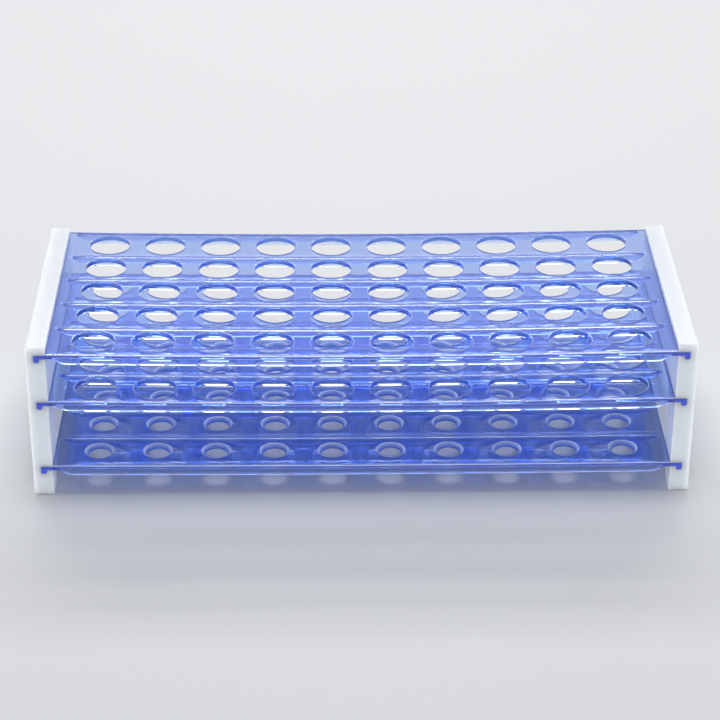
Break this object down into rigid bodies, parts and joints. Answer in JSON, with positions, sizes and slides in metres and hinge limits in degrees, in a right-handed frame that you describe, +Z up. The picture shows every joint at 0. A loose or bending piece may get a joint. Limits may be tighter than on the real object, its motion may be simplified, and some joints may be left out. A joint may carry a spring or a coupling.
{
  "type": "tube rack",
  "caption": "Three-tier tube rack: clear blue perforated shelves slid into grooved white end plates, for holding laboratory tubes upright",
  "frame": {"origin": "middle of the footprint, on the plane of the feet", "axes": "+X along the rack, -Y towards the front, +Z up"},
  "size_m": [0.2466, 0.103, 0.0625],
  "materials": {
    "white_plastic": "moulded gloss, opaque white",
    "clear_blue_plastic": "moulded gloss, clear blue"
  },
  "bodies": {
    "root": {"left_end_plate": "white_plastic", "right_end_plate": "white_plastic", "top_shelf": "clear_blue_plastic", "middle_shelf": "clear_blue_plastic", "bottom_shelf": "clear_blue_plastic"}
  },
  "joints": []
}
